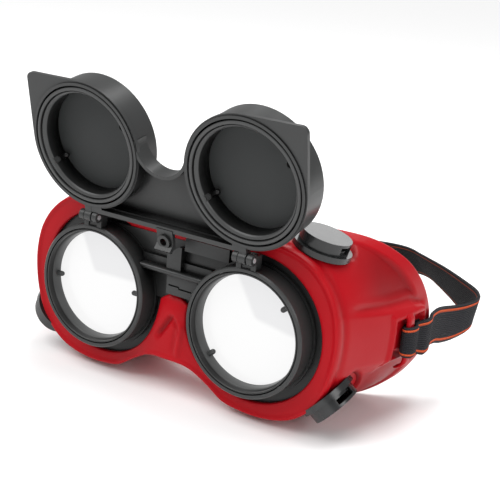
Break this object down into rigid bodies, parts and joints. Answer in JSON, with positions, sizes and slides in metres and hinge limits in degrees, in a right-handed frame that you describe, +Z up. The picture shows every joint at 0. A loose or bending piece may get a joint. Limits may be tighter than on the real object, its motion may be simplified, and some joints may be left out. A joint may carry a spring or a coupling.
{
  "type": "welding goggles",
  "caption": "Flip-up welding goggles: soft mask, round clear lenses in threaded eyecups, hinged shade with dark lenses, cowl vents and an elastic head strap.",
  "frame": {"origin": "midway between the lens axes, where the head meets the mask's face seal", "axes": "+X to the left of the wearer's view seen from the front (viewer's right), +Y back into the head, +Z up"},
  "size_m": [0.182, 0.1969, 0.1307],
  "materials": {
    "soft_red": "satin",
    "gloss_black": "gloss",
    "ring_black": "satin",
    "vent_black": "satin",
    "black_rubber": "matte",
    "clear_glass": "gloss",
    "dark_glass": "gloss",
    "steel": "satin",
    "webbing": "matte"
  },
  "bodies": {
    "goggles": {"mask_body": "soft_red", "front_frame": "gloss_black", "clear_lens_left": "clear_glass", "lens_gasket_left": "black_rubber", "hinge_pin_left": "steel", "clear_lens_right": "clear_glass", "lens_gasket_right": "black_rubber", "hinge_pin_right": "steel", "vent_base_upper_left": "vent_black", "vent_cap_upper_left": "vent_black", "vent_base_upper_right": "vent_black", "vent_cap_upper_right": "vent_black", "vent_base_lower_left": "vent_black", "vent_cap_lower_left": "vent_black", "vent_base_lower_right": "vent_black", "vent_cap_lower_right": "vent_black", "head_strap": "webbing"},
    "shade": {"shade_carrier": "gloss_black", "shade_lens_left": "dark_glass", "shade_lens_right": "dark_glass", "shade_gasket_left": "black_rubber", "shade_gasket_right": "black_rubber"},
    "ring_left": {"lens_ring_left": "ring_black"},
    "ring_right": {"lens_ring_right": "ring_black"},
    "dark_ring_left": {"shade_ring_left": "ring_black"},
    "dark_ring_right": {"shade_ring_right": "ring_black"},
    "adjuster": {"strap_slider": "vent_black"}
  },
  "joints": [
    {"name": "shade_hinge", "type": "hinge", "parent": "goggles", "child": "shade", "pos_m": [0, -0.03735, 0.03153], "axis": [1, 0, 0], "range_deg": [0, 167.9]},
    {"name": "lens_ring_turn_left", "type": "hinge", "parent": "goggles", "child": "ring_left", "pos_m": [-0.03815, -0.0325, 0], "axis": [0, 1, 0], "range_deg": [-360, 0]},
    {"name": "shade_ring_turn_left", "type": "hinge", "parent": "shade", "child": "dark_ring_left", "pos_m": [-0.03815, -0.0401, 0.06319], "axis": [0, -0.9778, -0.2096], "range_deg": [-360, 0]},
    {"name": "lens_ring_turn_right", "type": "hinge", "parent": "goggles", "child": "ring_right", "pos_m": [0.03815, -0.0325, 0], "axis": [0, 1, 0], "range_deg": [-360, 0]},
    {"name": "shade_ring_turn_right", "type": "hinge", "parent": "shade", "child": "dark_ring_right", "pos_m": [0.03815, -0.0401, 0.06319], "axis": [0, -0.9778, -0.2096], "range_deg": [-360, 0]},
    {"name": "slider_travel", "type": "slide", "parent": "goggles", "child": "adjuster", "axis": [1, 0, 0], "range_m": [-0.0075, 0.0075]}
  ]
}
